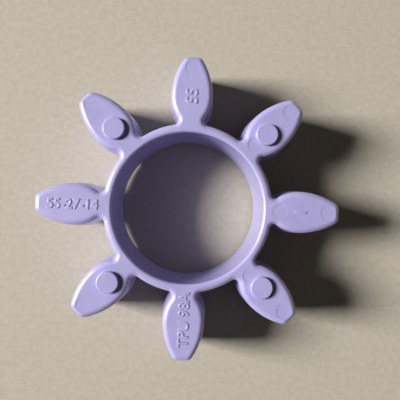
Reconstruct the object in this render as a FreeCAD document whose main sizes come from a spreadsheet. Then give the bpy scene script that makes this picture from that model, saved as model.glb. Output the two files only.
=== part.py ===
import FreeCAD, Part
import math
import os
import Sketcher

# Spider of a jaw coupling: one elastic moulding, a thin round web with crowned teeth on its outside
# and small spacer pips on the flat faces of the teeth. The moulding is modelled whole, with its
# draft and its roundings, and is then divided along its own features into the web and the teeth.
# Frame: origin on the bore axis at the parting plane, +Z along the axis towards the lettered side,
# +X through the middle of tooth_1. The teeth are numbered anticlockwise, seen from +Z.

SIZES = {
    # whole moulding
    "outside_diameter": 55.0,
    "bore_diameter": 27.0,
    "body_height": 14.0,
    "draft_angle": 3.0,
    "edge_radius": 1.0,
    "bore_edge_radius": 0.5,
    # web and teeth, measured at the parting plane: the crown is where a tooth is widest, the neck
    # width is that in the middle of the wall of the web, the tip width that before its corners
    "web_wall": 2.0,
    "tooth_count": 8,
    "tooth_width": 8.12,
    "crown_offset": 4.5,
    "neck_width": 2.65,
    "tip_width": 3.15,
    "tip_corner_radius": 1.6,
    "root_fillet_radius": 0.8,
    # spacer pips, which keep the teeth off the floors of the hubs
    "spacer_diameter": 3.9,
    "spacer_height": 0.8,
    "spacer_inset": 0.8,
    "spacer_edge_radius": 0.2,
    # shallow marks that the ejector pins of the mould leave on the upper side
    "mark_diameter": 2.7,
    "mark_depth": 0.05,
    "root_mark_offset": 0.95,
    "tip_mark_inset": 2.4,
}

# sizes that several features share: radii about the bore axis at the parting plane, and how far
# the draft brings a side in by the time it reaches the upper face
OUTSIDE_RADIUS = "Sizes.outside_diameter / 2"
BORE_RADIUS = "Sizes.bore_diameter / 2"
WEB_RADIUS = "(Sizes.bore_diameter / 2 + Sizes.web_wall)"
CROWN_RADIUS = "(Sizes.bore_diameter / 2 + Sizes.web_wall + Sizes.crown_offset)"
DRAFT_INSET = "(Sizes.body_height / 2 * tan(Sizes.draft_angle * 1 deg))"

# the roundings share the wall of the web at the upper face, so each is limited by what is left of it
TOP_WALL = f"(Sizes.web_wall - {DRAFT_INSET})"
RIM_RADIUS = f"min(Sizes.edge_radius; 0.75 * {TOP_WALL})"
BORE_EDGE_RADIUS = f"min(Sizes.bore_edge_radius; 0.9 * ({TOP_WALL} - {RIM_RADIUS}))"

UPPER_SPACER_TEETH = (2, 4, 6, 8)
LOWER_SPACER_TEETH = (1, 3, 5, 7)
TIP_MARK_TEETH = (1, 2, 3, 4, 6, 8)
ROOT_MARK_TEETH = (1, 2, 8)

TOLERANCE = 0.001
Z_AXIS = FreeCAD.Vector(0, 0, 1)
X_AXIS = FreeCAD.Vector(1, 0, 0)

doc = FreeCAD.newDocument("jaw_coupling_spider")


# ---------------------------------------------------------------- driving sizes

sheet = doc.addObject("Spreadsheet::Sheet", "Sizes")
for row, (alias, value) in enumerate(SIZES.items(), start=1):
    sheet.set(f"A{row}", alias)
    sheet.set(f"B{row}", str(value))
    sheet.setAlias(f"B{row}", alias)
doc.recompute()

tooth_count = int(sheet.tooth_count)
tooth_step = 360.0 / tooth_count
outside_radius = sheet.outside_diameter / 2
bore_radius = sheet.bore_diameter / 2
web_radius = bore_radius + sheet.web_wall
crown_radius = web_radius + sheet.crown_offset
half_height = sheet.body_height / 2
draft_inset = half_height * math.tan(math.radians(sheet.draft_angle))
top_wall = sheet.web_wall - draft_inset
bore_edge = min(sheet.bore_edge_radius, 0.9 * (top_wall - min(sheet.edge_radius, 0.75 * top_wall)))


# ---------------------------------------------------------------- helpers

def tooth_angle(number):
    """Direction of a tooth from +X, in degrees."""
    return (number - 1) * tooth_step


def spot(radius, angle, height):
    """A point on a circle about the bore axis, with the angle in degrees."""
    turn = math.radians(angle)
    return FreeCAD.Vector(radius * math.cos(turn), radius * math.sin(turn), height)


def origin_feature(body, role):
    """The body's own origin plane or axis with this role, such as XY_Plane."""
    return next(f for f in body.Origin.OriginFeatures if f.Role == role)


def add_sketch(body, name, role):
    sketch = body.newObject("Sketcher::SketchObject", name)
    sketch.AttachmentSupport = [(origin_feature(body, role), "")]
    sketch.MapMode = "FlatFace"
    return sketch


def add_size(sketch, name, expression, *constraint):
    """Adds a dimension to the sketch, names it and ties it to the sheet."""
    index = sketch.addConstraint(Sketcher.Constraint(*constraint))
    sketch.renameConstraint(index, name)
    sketch.setExpression(f"Constraints.{name}", expression)


def add_fillet(body, name, base, wanted, radius):
    """Rounds the edges of the base feature that the test picks out, with the radius an expression."""
    doc.recompute()
    edges = [f"Edge{n}" for n, edge in enumerate(base.Shape.Edges, 1) if wanted(edge)]
    if not edges:
        raise RuntimeError(f"{name} has no edges to round")
    fillet = body.newObject("PartDesign::Fillet", name)
    fillet.Base = (base, edges)
    fillet.setExpression("Radius", radius)
    return fillet


def radius_at(point):
    return math.hypot(point.x, point.y)


def arc_radius(length, rise):
    """Radius of an arc that leaves a line along it and rises this much over this length."""
    return (length ** 2 + rise ** 2) / (2 * rise)


# ---------------------------------------------------------------- upper half of the moulding

def add_web_section(body):
    """Half section of the web above the parting plane: a straight bore, rounded where it meets the
    upper face, and a drafted outside.
    """
    sketch = add_sketch(body, "web_section", "XZ_Plane")
    corners = [
        FreeCAD.Vector(bore_radius, 0, 0),
        FreeCAD.Vector(web_radius, 0, 0),
        FreeCAD.Vector(web_radius - draft_inset, half_height, 0),
        FreeCAD.Vector(bore_radius + bore_edge, half_height, 0),
        FreeCAD.Vector(bore_radius, half_height - bore_edge, 0),
    ]
    edge_centre = FreeCAD.Vector(bore_radius + bore_edge, half_height - bore_edge, 0)
    floor, outside, top, bore, rounding = range(5)
    for start, end in ((0, 1), (1, 2), (2, 3), (4, 0)):
        sketch.addGeometry(Part.LineSegment(corners[start], corners[end]), False)
    circle = Part.Circle(edge_centre, Z_AXIS, bore_edge)
    sketch.addGeometry(Part.ArcOfCircle(circle, math.pi / 2, math.pi), False)
    for one, following in ((floor, outside), (outside, top), (bore, floor)):
        sketch.addConstraint(Sketcher.Constraint("Coincident", one, 2, following, 1))
    for one, following in ((top, rounding), (rounding, bore)):
        sketch.addConstraint(Sketcher.Constraint("Tangent", one, 2, following, 1))
    sketch.addConstraint(Sketcher.Constraint("PointOnObject", floor, 1, -1))
    sketch.addConstraint(Sketcher.Constraint("Horizontal", floor))
    sketch.addConstraint(Sketcher.Constraint("Horizontal", top))
    sketch.addConstraint(Sketcher.Constraint("Vertical", bore))
    add_size(sketch, "bore_radius", BORE_RADIUS, "DistanceX", -1, 1, floor, 1, bore_radius)
    add_size(sketch, "web_radius", WEB_RADIUS, "DistanceX", -1, 1, floor, 2, web_radius)
    add_size(sketch, "half_height", "Sizes.body_height / 2", "DistanceY", -1, 1, top, 1, half_height)
    add_size(sketch, "bore_edge_radius", BORE_EDGE_RADIUS, "Radius", rounding, bore_edge)
    add_size(
        sketch,
        "web_top_radius",
        f"{WEB_RADIUS} - {DRAFT_INSET}",
        "DistanceX", -1, 1, top, 1, web_radius - draft_inset,
    )
    return sketch


def tangent_centre(first, first_radius, second, second_radius):
    """The point above the X axis at these distances from two centres."""
    gap = second - first
    along = (first_radius ** 2 - second_radius ** 2 + gap.Length ** 2) / (2 * gap.Length)
    across = math.sqrt(first_radius ** 2 - along ** 2)
    unit = gap / gap.Length
    return first + unit * along + FreeCAD.Vector(-unit.y, unit.x, 0) * across


def add_tooth_outline(body, name, level):
    """Plan of tooth_1 at the parting plane (level 0) or, with the draft taken off, at the upper face
    (level 1): outside arc, tip corners, flanks and roots.

    Flank and root meet at the crown, where both run along X. The roots run on into the web and end
    on a line in the middle of its wall.
    """
    inset = level * draft_inset
    half_width = sheet.tooth_width / 2
    wall_middle = (bore_radius + web_radius) / 2
    flank_rise = (sheet.tooth_width - sheet.tip_width) / 2
    root_rise = (sheet.tooth_width - sheet.neck_width) / 2
    flank_radius = arc_radius(outside_radius - crown_radius, flank_rise)
    root_radius = arc_radius(crown_radius - wall_middle, root_rise)
    tip_radius = sheet.tip_corner_radius

    axis_point = FreeCAD.Vector(0, 0, 0)
    flank_centre = FreeCAD.Vector(crown_radius, half_width - flank_radius, 0)
    root_centre = FreeCAD.Vector(crown_radius, half_width - root_radius, 0)
    tip_centre = tangent_centre(
        axis_point, outside_radius - tip_radius, flank_centre, flank_radius - tip_radius
    )
    outside_end = math.atan2(tip_centre.y, tip_centre.x)
    tip_end = math.atan2(tip_centre.y - flank_centre.y, tip_centre.x - flank_centre.x)
    crown_end = math.pi / 2
    root_end = math.pi - math.acos((crown_radius - wall_middle) / (root_radius - inset))
    root_height = root_centre.y + (root_radius - inset) * math.sin(root_end)

    def arc(centre, radius, start, end):
        return Part.ArcOfCircle(Part.Circle(centre, Z_AXIS, radius - inset), start, end)

    def below(centre):
        return FreeCAD.Vector(centre.x, -centre.y, 0)

    inner_line = Part.LineSegment(
        FreeCAD.Vector(wall_middle, root_height, 0), FreeCAD.Vector(wall_middle, -root_height, 0)
    )
    sketch = add_sketch(body, name, "XY_Plane")
    sketch.setExpression("AttachmentOffset.Base.z", f"{level} * Sizes.body_height / 2")
    outside, tip, flank, root, inner, low_root, low_flank, low_tip = range(8)
    for curve in (
        arc(axis_point, outside_radius, -outside_end, outside_end),
        arc(tip_centre, tip_radius, outside_end, tip_end),
        arc(flank_centre, flank_radius, tip_end, crown_end),
        arc(root_centre, root_radius, crown_end, root_end),
        inner_line,
        arc(below(root_centre), root_radius, -root_end, -crown_end),
        arc(below(flank_centre), flank_radius, -crown_end, -tip_end),
        arc(below(tip_centre), tip_radius, -tip_end, -outside_end),
    ):
        sketch.addGeometry(curve, False)

    arcs_in_order = (low_root, low_flank, low_tip, outside, tip, flank, root)
    for one, following in zip(arcs_in_order, arcs_in_order[1:]):
        sketch.addConstraint(Sketcher.Constraint("Tangent", one, 2, following, 1))
    for upper, lower in ((tip, low_tip), (flank, low_flank), (root, low_root)):
        sketch.addConstraint(Sketcher.Constraint("Equal", upper, lower))
    sketch.addConstraint(Sketcher.Constraint("Coincident", root, 2, inner, 1))
    sketch.addConstraint(Sketcher.Constraint("Coincident", inner, 2, low_root, 1))
    sketch.addConstraint(Sketcher.Constraint("Coincident", outside, 3, -1, 1))
    sketch.addConstraint(Sketcher.Constraint("Vertical", inner))
    sketch.addConstraint(Sketcher.Constraint("Vertical", flank, 3, flank, 2))
    sketch.addConstraint(Sketcher.Constraint("Vertical", low_flank, 3, low_flank, 1))
    sketch.addConstraint(Sketcher.Constraint("Symmetric", flank, 2, low_flank, 1, -1))

    def add_inset_size(size_name, expression, *constraint):
        add_size(sketch, size_name, f"{expression} - {level} * {DRAFT_INSET}", *constraint)

    flank_length_text = f"({OUTSIDE_RADIUS} - {CROWN_RADIUS})"
    root_length_text = "(Sizes.crown_offset + Sizes.web_wall / 2)"
    flank_rise_text = "((Sizes.tooth_width - Sizes.tip_width) / 2)"
    root_rise_text = "((Sizes.tooth_width - Sizes.neck_width) / 2)"
    flank_radius_text = f"({flank_length_text} ^ 2 + {flank_rise_text} ^ 2) / (2 * {flank_rise_text})"
    root_radius_text = f"({root_length_text} ^ 2 + {root_rise_text} ^ 2) / (2 * {root_rise_text})"
    add_inset_size("outside_radius", OUTSIDE_RADIUS, "Radius", outside, outside_radius - inset)
    add_inset_size("tip_radius", "Sizes.tip_corner_radius", "Radius", tip, tip_radius - inset)
    add_inset_size("flank_radius", flank_radius_text, "Radius", flank, flank_radius - inset)
    add_inset_size("root_radius", root_radius_text, "Radius", root, root_radius - inset)
    add_inset_size(
        "half_width", "Sizes.tooth_width / 2", "DistanceY", -1, 1, flank, 2, half_width - inset
    )
    add_size(sketch, "crown", CROWN_RADIUS, "DistanceX", -1, 1, flank, 2, crown_radius)
    add_size(
        sketch,
        "wall_middle",
        f"({BORE_RADIUS} + {WEB_RADIUS}) / 2",
        "DistanceX", -1, 1, inner, 1, wall_middle,
    )
    return sketch


def add_upper_half():
    """Web and teeth above the parting plane, drafted and rounded."""
    body = doc.addObject("PartDesign::Body", "upper_half")

    web_section = add_web_section(body)
    web = body.newObject("PartDesign::Revolution", "web")
    web.Profile = web_section
    web.ReferenceAxis = (web_section, ["V_Axis"])
    web.Angle = 360

    tooth = body.newObject("PartDesign::AdditiveLoft", "tooth")
    tooth.Profile = add_tooth_outline(body, "tooth_outline", 0)
    tooth.Sections = [add_tooth_outline(body, "upper_tooth_outline", 1)]
    tooth.Ruled = True

    teeth = body.newObject("PartDesign::PolarPattern", "teeth")
    teeth.Originals = [tooth]
    teeth.Axis = (origin_feature(body, "Z_Axis"), [""])
    teeth.Angle = 360
    teeth.setExpression("Occurrences", "Sizes.tooth_count")
    body.Tip = teeth

    def meets_web(edge):
        foot = min((vertex.Point for vertex in edge.Vertexes), key=lambda point: point.z)
        return (
            edge.BoundBox.ZLength > half_height - TOLERANCE
            and abs(radius_at(foot) - web_radius) < TOLERANCE
        )

    def on_top_outline(edge):
        return (
            edge.BoundBox.ZMin > half_height - TOLERANCE
            and radius_at(edge.Vertexes[0].Point) > bore_radius + bore_edge + TOLERANCE
        )

    roots = add_fillet(body, "root_fillets", teeth, meets_web, "Sizes.root_fillet_radius")
    add_fillet(body, "rounded_rim", roots, on_top_outline, RIM_RADIUS)
    doc.recompute()
    return body


# ---------------------------------------------------------------- whole moulding

def add_mark(name, number, radius):
    """Cutter of one ejector pin mark on a tooth, which leaves the upper face open."""
    cutter = doc.addObject("Part::Cylinder", f"{name}_{number}")
    cutter.setExpression("Radius", "Sizes.mark_diameter / 2")
    cutter.setExpression("Height", "2 * Sizes.mark_depth")
    cutter.Placement = FreeCAD.Placement(
        spot(radius, tooth_angle(number), half_height - sheet.mark_depth), FreeCAD.Rotation()
    )
    return cutter


def add_moulding():
    upper_half = add_upper_half()
    lower_half = doc.addObject("Part::Mirroring", "lower_half")
    lower_half.Source = upper_half
    lower_half.Normal = Z_AXIS
    lower_half.Base = FreeCAD.Vector(0, 0, 0)
    blank = doc.addObject("Part::MultiFuse", "blank")
    blank.Shapes = [upper_half, lower_half]
    tip_mark_radius = outside_radius - sheet.tip_mark_inset
    root_mark_radius = web_radius + sheet.root_mark_offset
    cutters = [add_mark("tip_mark", number, tip_mark_radius) for number in TIP_MARK_TEETH]
    cutters += [add_mark("root_mark", number, root_mark_radius) for number in ROOT_MARK_TEETH]
    marks = doc.addObject("Part::MultiFuse", "ejector_marks")
    marks.Shapes = cutters
    moulding = doc.addObject("Part::Cut", "moulding")
    moulding.Base = blank
    moulding.Tool = marks
    return moulding


# ---------------------------------------------------------------- sub-parts

def add_web_region():
    """Cylinder round the web, out to the necks of the teeth where their root fillets end."""
    region = doc.addObject("Part::Cylinder", "web_region")
    region.setExpression("Radius", f"{WEB_RADIUS} + Sizes.root_fillet_radius / 2")
    region.setExpression("Height", "2 * Sizes.body_height")
    region.Placement = FreeCAD.Placement(FreeCAD.Vector(0, 0, -sheet.body_height), FreeCAD.Rotation())
    return region


def add_web_ring(moulding, web_region):
    web_ring = doc.addObject("Part::Common", "web_ring")
    web_ring.Base = moulding
    web_ring.Tool = web_region
    return web_ring


def add_tooth(number, moulding, web_region):
    """One tooth from its neck outwards: the moulding within its sector, without the web."""
    sector = doc.addObject("Part::Cylinder", f"sector_{number}")
    sector.setExpression("Radius", "Sizes.outside_diameter")
    sector.setExpression("Height", "2 * Sizes.body_height")
    sector.setExpression("Angle", "360 / Sizes.tooth_count")
    sector.Placement = FreeCAD.Placement(
        FreeCAD.Vector(0, 0, -sheet.body_height),
        FreeCAD.Rotation(Z_AXIS, tooth_angle(number) - tooth_step / 2),
    )
    slice_of_moulding = doc.addObject("Part::Common", f"slice_{number}")
    slice_of_moulding.Base = moulding
    slice_of_moulding.Tool = sector
    tooth = doc.addObject("Part::Cut", f"tooth_{number}")
    tooth.Base = slice_of_moulding
    tooth.Tool = web_region
    return tooth


def add_spacer(number, side):
    """Spacer pip on the upper (side 1) or lower (side -1) face of a tooth, with a rounded rim."""
    name = "upper_spacer" if side > 0 else "lower_spacer"
    body = doc.addObject("PartDesign::Body", f"{name}_{number}")
    pip = body.newObject("PartDesign::AdditiveCylinder", f"{name}_pip_{number}")
    pip.setExpression("Radius", "Sizes.spacer_diameter / 2")
    pip.setExpression("Height", "Sizes.spacer_height")

    def at_free_end(edge):
        return edge.BoundBox.ZMin > sheet.spacer_height - TOLERANCE

    add_fillet(body, f"{name}_rim_{number}", pip, at_free_end, "Sizes.spacer_edge_radius")
    body.Placement = FreeCAD.Placement(
        spot(crown_radius - sheet.spacer_inset, tooth_angle(number), side * half_height),
        FreeCAD.Rotation(X_AXIS, 0 if side > 0 else 180),
    )
    return body


moulding = add_moulding()
web_region = add_web_region()
divisions = [add_web_ring(moulding, web_region)]
divisions += [add_tooth(number, moulding, web_region) for number in range(1, tooth_count + 1)]
spacers = [add_spacer(number, 1) for number in UPPER_SPACER_TEETH]
spacers += [add_spacer(number, -1) for number in LOWER_SPACER_TEETH]
sub_parts = divisions + spacers


# ---------------------------------------------------------------- checks and files

doc.recompute()
for item in doc.Objects:
    if "Invalid" in item.State or "Error" in item.State:
        raise RuntimeError(f"{item.Label} did not build: {item.State}")
for item in sub_parts:
    if item.Shape.isNull() or not item.Shape.isValid():
        raise RuntimeError(f"{item.Label} has no valid shape")
    if len(item.Shape.Solids) != 1:
        raise RuntimeError(f"{item.Label} is {len(item.Shape.Solids)} solids, not one")
divided_volume = sum(item.Shape.Volume for item in divisions)
if abs(divided_volume - moulding.Shape.Volume) > TOLERANCE * moulding.Shape.Volume:
    raise RuntimeError("the web and the teeth do not add up to the moulding")

os.makedirs("parts", exist_ok=True)
for item in sub_parts:
    item.Shape.exportStep(os.path.join("parts", f"{item.Label}.step"))
    print(f"{item.Label}: {item.Shape.Volume:.1f} mm3")
print(f"whole moulding: {divided_volume + sum(item.Shape.Volume for item in spacers):.1f} mm3")
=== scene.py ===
import math

import bpy
from mathutils import Matrix, Vector


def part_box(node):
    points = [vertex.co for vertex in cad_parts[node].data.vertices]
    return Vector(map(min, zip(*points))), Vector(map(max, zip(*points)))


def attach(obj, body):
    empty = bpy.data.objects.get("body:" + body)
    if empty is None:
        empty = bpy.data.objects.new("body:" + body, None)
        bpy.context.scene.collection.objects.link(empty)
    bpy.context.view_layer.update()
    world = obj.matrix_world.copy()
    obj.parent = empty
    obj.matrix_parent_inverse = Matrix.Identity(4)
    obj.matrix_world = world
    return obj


# Spider of a jaw coupling. The CAD nodes keep their shapes and get the material of the moulding, and
# raised characters are added to four teeth. Everything is in metres, in the frame of the CAD.

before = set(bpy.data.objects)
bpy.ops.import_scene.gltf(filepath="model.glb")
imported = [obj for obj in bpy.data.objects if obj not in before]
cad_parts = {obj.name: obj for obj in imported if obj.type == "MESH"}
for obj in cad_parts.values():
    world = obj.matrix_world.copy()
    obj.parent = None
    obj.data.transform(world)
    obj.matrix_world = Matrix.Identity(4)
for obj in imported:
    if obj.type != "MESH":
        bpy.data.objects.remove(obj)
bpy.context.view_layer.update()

MM = 0.001
TEETH = range(1, 9)
TOOTH_STEP = math.radians(360 / len(TEETH))
FACE_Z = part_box("tooth_1")[1].z
FLOOR_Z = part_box("lower_spacer_1")[0].z


# ---------------------------------------------------------------- helpers

def new_material(name):
    material = bpy.data.materials.new(name)
    material.use_nodes = True
    tree = material.node_tree
    return material, tree.nodes, tree.links, tree.nodes["Principled BSDF"]


def use_material(obj, material):
    obj.data.materials.clear()
    obj.data.materials.append(material)


def add_piece(name, mesh, material):
    """Puts a new piece of the moulding into the scene and lets it ride on the part."""
    piece = bpy.data.objects.new(name, mesh)
    bpy.context.scene.collection.objects.link(piece)
    use_material(piece, material)
    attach(piece, "root")
    return piece


def mesh_from_curve(curve):
    """The mesh that a curve or text makes, with the curve itself removed."""
    maker = bpy.data.objects.new("maker", curve)
    bpy.context.scene.collection.objects.link(maker)
    mesh = bpy.data.meshes.new_from_object(maker.evaluated_get(bpy.context.evaluated_depsgraph_get()))
    bpy.data.objects.remove(maker)
    bpy.data.curves.remove(curve)
    return mesh


def find_socket(sockets, identifier):
    """The socket with this identifier, on a node where several have the same name."""
    return next(socket for socket in sockets if socket.identifier == identifier)


# ---------------------------------------------------------------- material of the moulding

# how fine each pattern is, as a noise scale per metre
CLOUDS = 110.0
STREAKS = 420.0
GLOSS = 650.0
PEEL = 1500.0
DENTS = 260.0

STREAK_SHARE = 0.35
DEEP_LILAC = (0.38, 0.355, 0.65)
PALE_LILAC = (0.435, 0.405, 0.71)
ROUGHNESS = (0.4, 0.5)
PEEL_DEPTH = 0.006 * MM
DENT_DEPTH = 0.03 * MM


def add_noise(nodes, links, vector, scale, detail, distortion=0.0):
    noise = nodes.new("ShaderNodeTexNoise")
    noise.inputs["Scale"].default_value = scale
    noise.inputs["Detail"].default_value = detail
    noise.inputs["Distortion"].default_value = distortion
    links.new(vector, noise.inputs["Vector"])
    return noise.outputs["Fac"]


def add_ramp(nodes, links, factor, *stops):
    ramp = nodes.new("ShaderNodeValToRGB")
    for element, (position, colour) in zip(ramp.color_ramp.elements, stops):
        element.position = position
        element.color = (*colour, 1)
    links.new(factor, ramp.inputs["Fac"])
    return ramp.outputs["Color"]


def add_range(nodes, links, value, low, high):
    """Spreads the middle of a noise, which is all it reaches, over a range of values."""
    spread = nodes.new("ShaderNodeMapRange")
    spread.inputs["From Min"].default_value = 0.3
    spread.inputs["From Max"].default_value = 0.7
    spread.inputs["To Min"].default_value = low
    spread.inputs["To Max"].default_value = high
    links.new(value, spread.inputs["Value"])
    return spread.outputs["Result"]


def add_bump(nodes, links, height, depth, normal=None):
    bump = nodes.new("ShaderNodeBump")
    bump.inputs["Strength"].default_value = 1.0
    bump.inputs["Distance"].default_value = depth
    links.new(height, bump.inputs["Height"])
    if normal:
        links.new(normal, bump.inputs["Normal"])
    return bump.outputs["Normal"]


def make_elastomer():
    """Lilac polyurethane: a glossy moulded skin over a slightly translucent body.

    Clouding and flow streaks tint it, its gloss is uneven, and its skin has a faint orange peel and
    the dents of handling.
    """
    material, nodes, links, shader = new_material("lilac_polyurethane")
    place = nodes.new("ShaderNodeTexCoord").outputs["Object"]

    clouds = add_noise(nodes, links, place, CLOUDS, detail=4.0, distortion=1.5)
    streaks = add_noise(nodes, links, place, STREAKS, detail=3.0, distortion=3.0)
    blend = nodes.new("ShaderNodeMix")
    blend.inputs["Factor"].default_value = STREAK_SHARE
    links.new(clouds, blend.inputs["A"])
    links.new(streaks, blend.inputs["B"])
    tint = add_ramp(nodes, links, blend.outputs["Result"], (0.36, DEEP_LILAC), (0.64, PALE_LILAC))
    links.new(tint, shader.inputs["Base Color"])

    gloss = add_noise(nodes, links, place, GLOSS, detail=3.0)
    links.new(add_range(nodes, links, gloss, *ROUGHNESS), shader.inputs["Roughness"])

    peel = add_noise(nodes, links, place, PEEL, detail=2.0)
    dents = add_noise(nodes, links, place, DENTS, detail=2.0)
    relief = add_bump(nodes, links, peel, PEEL_DEPTH)
    links.new(add_bump(nodes, links, dents, DENT_DEPTH, relief), shader.inputs["Normal"])

    shader.inputs["IOR"].default_value = 1.5
    shader.inputs["Coat Weight"].default_value = 1.0
    shader.inputs["Coat Roughness"].default_value = 0.3
    shader.inputs["Coat IOR"].default_value = 1.55
    shader.inputs["Subsurface Weight"].default_value = 0.12
    shader.inputs["Subsurface Radius"].default_value = (1.0, 0.85, 1.3)
    shader.inputs["Subsurface Scale"].default_value = 0.7 * MM
    return material


elastomer = make_elastomer()
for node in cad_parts.values():
    use_material(node, elastomer)


# ---------------------------------------------------------------- raised characters

# how far the characters stand proud, how deep they are rooted, and the rounding that widens them
MARK_HEIGHT = 0.12 * MM
MARK_ROOT = 0.04 * MM
MARK_ROUNDING = 0.075 * MM


def spread(mesh, axis):
    """Lowest and highest coordinate of a mesh along an axis."""
    values = [vertex.co[axis] for vertex in mesh.vertices]
    return min(values), max(values)


def add_mark(name, text, tooth, size, from_axis, turn):
    """Characters that stand proud of a tooth's upper face.

    Size is their height, from_axis the distance of their middle from the bore axis, and turn the
    direction in which they read, in degrees from +X.
    """
    curve = bpy.data.curves.new(name, "FONT")
    curve.body = text
    plain = mesh_from_curve(curve.copy())
    (left, right), (bottom, top) = spread(plain, 0), spread(plain, 1)
    bpy.data.meshes.remove(plain)

    scale = size / (top - bottom)
    curve.bevel_depth = MARK_ROUNDING / scale
    curve.bevel_resolution = 2
    curve.extrude = ((MARK_HEIGHT + MARK_ROOT) / 2 - MARK_ROUNDING) / scale
    curve.resolution_u = 6
    mesh = mesh_from_curve(curve)

    heading = (tooth - 1) * TOOTH_STEP
    spot = Vector((
        from_axis * math.cos(heading),
        from_axis * math.sin(heading),
        FACE_Z + (MARK_HEIGHT - MARK_ROOT) / 2,
    ))
    mesh.transform(
        Matrix.Translation(spot)
        @ Matrix.Rotation(math.radians(turn), 4, "Z")
        @ Matrix.Scale(scale, 4)
        @ Matrix.Translation((-(left + right) / 2, -(bottom + top) / 2, 0))
    )
    return add_piece(name, mesh, elastomer)


add_mark("size_number", "55", tooth=3, size=2.0 * MM, from_axis=20.0 * MM, turn=90)
add_mark("cavity_number", "1", tooth=1, size=2.1 * MM, from_axis=20.1 * MM, turn=90)
add_mark("material_mark", "TPU 98A", tooth=7, size=1.8 * MM, from_axis=19.8 * MM, turn=90)
add_mark("proportions_mark", "55-27-14", tooth=5, size=1.75 * MM, from_axis=20.3 * MM, turn=0)


# ---------------------------------------------------------------- floor, light and camera

FLOOR_REACH = 1.5
FLECKS = 900.0
DEEP_BOARD = (0.43, 0.395, 0.325)
PALE_BOARD = (0.48, 0.44, 0.365)

CAMERA_LENS = 39.85
CAMERA_PLACE = (0.655 * MM, 0.453 * MM, 85.53 * MM)
CAMERA_TARGET = (2.131 * MM, 1.523 * MM, 7 * MM)
CAMERA_ROLL = math.radians(2.2)

DARK_ROOM = (0.012, 0.0105, 0.008)
LIT_ROOM = (0.055, 0.049, 0.042)
HORIZON = (0.25, 0.24, 0.225)


def make_floor_material():
    """Pale uncoated board with a faint fleck."""
    material, nodes, links, shader = new_material("pale_floor")
    place = nodes.new("ShaderNodeTexCoord").outputs["Object"]
    fleck = add_noise(nodes, links, place, FLECKS, detail=4.0)
    tint = add_ramp(nodes, links, fleck, (0.35, DEEP_BOARD), (0.65, PALE_BOARD))
    links.new(tint, shader.inputs["Base Color"])
    shader.inputs["Roughness"].default_value = 0.9
    return material


def make_floor():
    mesh = bpy.data.meshes.new("floor")
    signs = ((-1, -1), (1, -1), (1, 1), (-1, 1))
    corners = [(x * FLOOR_REACH, y * FLOOR_REACH, FLOOR_Z) for x, y in signs]
    mesh.from_pydata(corners, [], [(0, 1, 2, 3)])
    floor = bpy.data.objects.new("floor", mesh)
    bpy.context.scene.collection.objects.link(floor)
    use_material(floor, make_floor_material())


def aim(obj, location, target, roll):
    """Puts an object in place, looking at the target, with +Y of the frame up in its view."""
    back = (Vector(location) - Vector(target)).normalized()
    right = Vector((0, 1, 0)).cross(back).normalized()
    up = back.cross(right)
    turn = Matrix((right, up, back)).transposed() @ Matrix.Rotation(roll, 3, "Z")
    obj.matrix_world = Matrix.Translation(Vector(location)) @ turn.to_4x4()


def add_window(distance, heading, elevation, width, height, power, colour):
    """A lit rectangle at this distance, with its place and size in degrees as seen from the object."""
    data = bpy.data.lights.new("window", "AREA")
    data.shape = "RECTANGLE"
    data.size = 2 * distance * math.tan(math.radians(width / 2))
    data.size_y = 2 * distance * math.tan(math.radians(height / 2))
    data.energy = power
    data.color = colour
    light = bpy.data.objects.new("window", data)
    bpy.context.scene.collection.objects.link(light)
    across, up = math.radians(heading), math.radians(elevation)
    direction = Vector((math.cos(across) * math.cos(up), math.sin(across) * math.cos(up), math.sin(up)))
    turn = direction.to_track_quat("Z", "Y").to_matrix().to_4x4()
    light.matrix_world = Matrix.Translation(direction * distance) @ turn


def make_camera():
    data = bpy.data.cameras.new("camera")
    data.sensor_width = 36.0
    data.lens = CAMERA_LENS
    data.clip_start = 0.005
    camera = bpy.data.objects.new("camera", data)
    bpy.context.scene.collection.objects.link(camera)
    aim(camera, CAMERA_PLACE, CAMERA_TARGET, CAMERA_ROLL)
    bpy.context.scene.camera = camera


def make_surroundings():
    """Dim room, a little brighter on the side away from the window, with a pale glow at the horizon."""
    world = bpy.data.worlds.new("surroundings")
    world.use_nodes = True
    nodes, links = world.node_tree.nodes, world.node_tree.links
    direction = nodes.new("ShaderNodeSeparateXYZ")
    links.new(nodes.new("ShaderNodeTexCoord").outputs["Generated"], direction.inputs["Vector"])
    across = nodes.new("ShaderNodeMapRange")
    across.inputs["From Min"].default_value = -0.6
    across.inputs["From Max"].default_value = 0.8
    links.new(direction.outputs["X"], across.inputs["Value"])
    room = add_ramp(nodes, links, across.outputs["Result"], (0.0, DARK_ROOM), (1.0, LIT_ROOM))
    glow = nodes.new("ShaderNodeMapRange")
    glow.inputs["From Min"].default_value = 0.45
    glow.inputs["From Max"].default_value = 0.05
    links.new(direction.outputs["Z"], glow.inputs["Value"])
    blend = nodes.new("ShaderNodeMix")
    blend.data_type = "RGBA"
    links.new(glow.outputs["Result"], blend.inputs["Factor"])
    links.new(room, find_socket(blend.inputs, "A_Color"))
    find_socket(blend.inputs, "B_Color").default_value = (*HORIZON, 1)
    links.new(find_socket(blend.outputs, "Result_Color"), nodes["Background"].inputs["Color"])
    bpy.context.scene.world = world


make_floor()
add_window(2.4, heading=175, elevation=34.5, width=15, height=20, power=109.0, colour=(1.0, 0.98, 0.96))
make_camera()
make_surroundings()
bpy.context.scene.view_settings.view_transform = "Standard"
